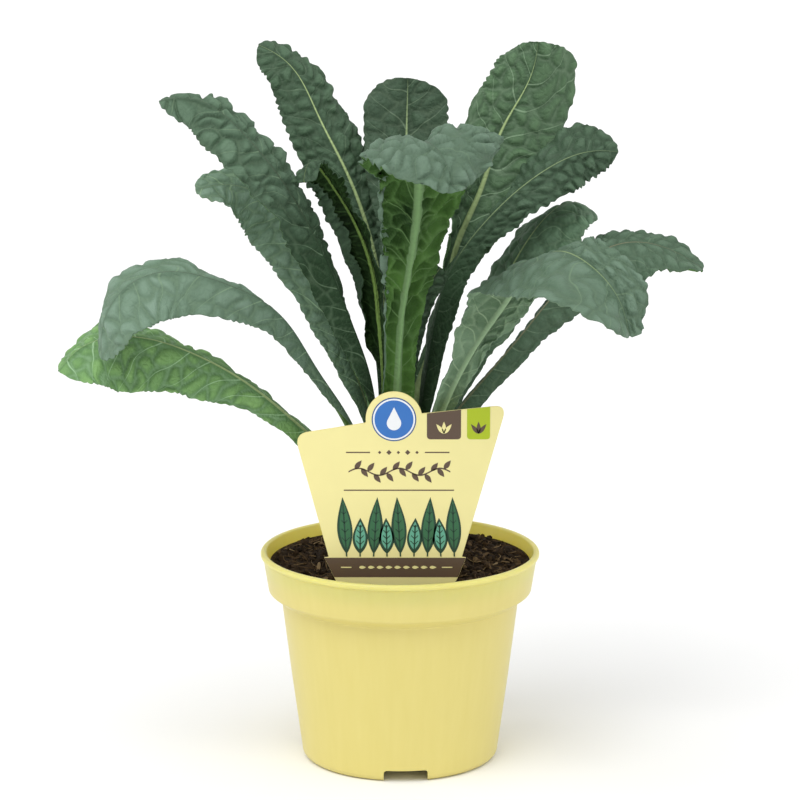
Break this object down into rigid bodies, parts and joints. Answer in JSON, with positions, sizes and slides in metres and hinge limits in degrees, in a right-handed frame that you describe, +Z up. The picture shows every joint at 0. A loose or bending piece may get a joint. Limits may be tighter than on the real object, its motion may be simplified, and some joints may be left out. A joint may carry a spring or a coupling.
{
  "type": "potted lacinato kale",
  "caption": "Young lacinato kale with long blistered, arching blue-green leaves, growing in a tapered round nursery pot with a plant card standing in the soil.",
  "frame": {"origin": "on the pot's axis, in the plane that the pot stands on", "axes": "+Z up along the pot's axis, -Y out of the printed face of the card, +X to the right of someone who looks at that face"},
  "size_m": [0.2735, 0.1861, 0.3051],
  "materials": {
    "pot_plastic": "pale yellow moulded plastic with a satin shine",
    "potting_soil": "dark crumbly peat with paler fibres and bark chips",
    "card_plastic": "printed plastic card",
    "stem": "pale green stem with leaf scars",
    "leaf": "blistered blue-green leaf with a grey bloom and pale ribs",
    "young_leaf": "fresh green crinkled leaf"
  },
  "bodies": {
    "root": {"pot": "pot_plastic", "soil": "potting_soil", "card": "card_plastic", "stem": "stem", "leaf_01": "leaf", "leaf_02": "leaf", "leaf_03": "leaf", "leaf_04": "leaf", "leaf_05": "leaf", "leaf_06": "leaf", "leaf_07": "leaf", "leaf_08": "leaf", "leaf_09": "leaf", "leaf_10": "leaf", "leaf_11": "leaf", "leaf_12": "leaf", "leaf_13": "leaf", "leaf_14": "leaf", "heart_leaf_1": "young_leaf", "heart_leaf_2": "young_leaf"}
  },
  "joints": []
}
